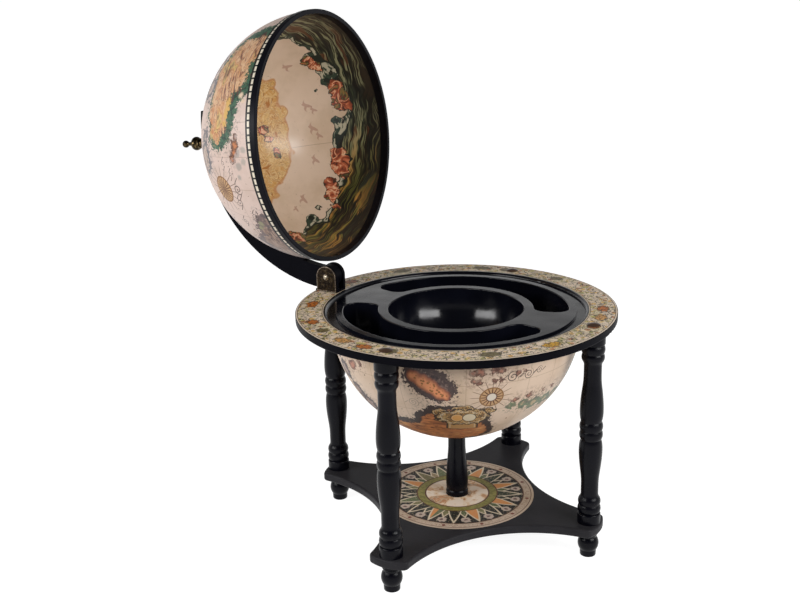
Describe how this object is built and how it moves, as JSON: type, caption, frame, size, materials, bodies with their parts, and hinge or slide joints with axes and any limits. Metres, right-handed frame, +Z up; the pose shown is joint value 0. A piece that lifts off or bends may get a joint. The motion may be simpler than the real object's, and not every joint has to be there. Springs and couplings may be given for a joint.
{
  "type": "tabletop globe bar",
  "caption": "Tabletop globe bar: a half-globe lid on a curved hinged arm opens over a moulded drinks tray, in a wide ring on turned legs with a low shelf.",
  "frame": {"origin": "on the floor, under the middle of the whole object with its lid open", "axes": "+Z up; the hinge, the arm and the open lid are towards +Y, the back; +X is to the right of someone at the front looking towards +Y"},
  "size_m": [0.42, 0.6406, 0.6955],
  "materials": {
    "ring_wood": "satin black paint",
    "ring_paper": "printed and varnished",
    "tray_plastic": "glossy navy black",
    "fibreboard": "plain",
    "globe_paper": "printed and varnished",
    "lid_paper": "printed and varnished",
    "lining_paper": "printed and varnished",
    "strip_paper": "printed and varnished",
    "rim_plastic": "satin black",
    "black_wood": "satin black paint",
    "hinge_wood": "satin black paint",
    "turned_wood": "satin navy black paint",
    "shelf_wood": "satin black paint",
    "shelf_paper": "printed and varnished",
    "plate_brass": "aged and engraved",
    "finial_brass": "aged",
    "cap_brass": "dark bronze",
    "bush_brass": "plain",
    "steel": "zinc plated",
    "pad_rubber": "matte"
  },
  "bodies": {
    "stand": {"column": "turned_wood", "column_lower_nut": "steel", "column_rod": "steel", "column_upper_nut": "steel", "foot_bolts": "steel", "foot_front": "turned_wood", "foot_left": "turned_wood", "foot_rear": "turned_wood", "foot_right": "turned_wood", "hinge_block": "hinge_wood", "hinge_caps": "cap_brass", "hinge_pin": "steel", "hinge_plate_left": "plate_brass", "hinge_plate_right": "plate_brass", "hinge_screws": "steel", "hinge_washers": "bush_brass", "leg_front": "turned_wood", "leg_left": "turned_wood", "leg_rear": "turned_wood", "leg_right": "turned_wood", "leg_screws": "steel", "lower_map": "globe_paper", "lower_shell": "fibreboard", "ring_board": "ring_wood", "ring_caps": "cap_brass", "ring_map": "ring_paper", "shelf": "shelf_wood", "shelf_map": "shelf_paper", "stop_pad": "pad_rubber", "tray": "tray_plastic"},
    "lid": {"arm_bush": "bush_brass", "chequer_strip": "strip_paper", "finial": "finial_brass", "finial_bolt": "steel", "lid_lining": "lining_paper", "lid_map": "lid_paper", "lid_shell": "fibreboard", "meridian_arm": "black_wood", "pole_nut": "cap_brass", "pole_spacer": "black_wood", "rim_band": "rim_plastic", "rim_block": "black_wood"}
  },
  "joints": [
    {"name": "lid_hinge", "type": "hinge", "parent": "stand", "child": "lid", "pos_m": [0, 0.08052, 0.3381], "axis": [1, 0, 0], "range_deg": [0, 95.8]}
  ]
}
